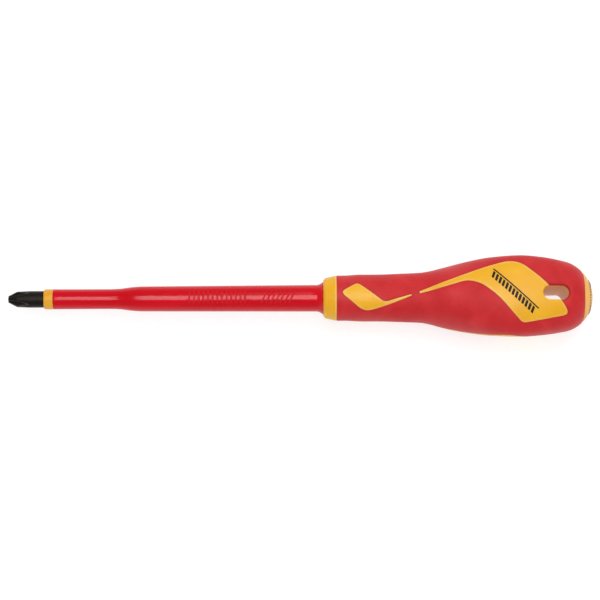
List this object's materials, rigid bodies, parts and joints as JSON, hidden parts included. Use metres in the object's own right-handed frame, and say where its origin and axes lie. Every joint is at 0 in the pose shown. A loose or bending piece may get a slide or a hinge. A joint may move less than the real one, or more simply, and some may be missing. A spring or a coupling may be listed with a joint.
{
  "type": "insulated screwdriver",
  "caption": "Insulated cross-tip screwdriver with a sleeved blade and a three-lobed soft-grip handle with inlaid flashes, a domed end and a hanging slot.",
  "frame": {"origin": "centre of the flat end of the tip, on the blade's axis", "axes": "+X back along the blade into the handle, +Z out of the handle face that the hanging slot opens on, +Y to the right-hand rule"},
  "size_m": [0.2782, 0.0388, 0.0387],
  "materials": {
    "blade_steel": "matt black oxide on hardened tool steel",
    "inner_sleeve_plastic": "satin moulded yellow",
    "outer_sleeve_plastic": "glossy moulded red",
    "core_plastic": "natural moulded, hidden",
    "body_plastic": "satin moulded yellow",
    "grip_elastomer": "matt soft-touch moulded red",
    "cap_plastic": "satin moulded yellow"
  },
  "bodies": {
    "root": {"blade": "blade_steel", "inner_insulation": "inner_sleeve_plastic", "outer_insulation": "outer_sleeve_plastic", "anchor_core": "core_plastic", "handle_body": "body_plastic", "soft_grip": "grip_elastomer", "end_cap": "cap_plastic"}
  },
  "joints": []
}
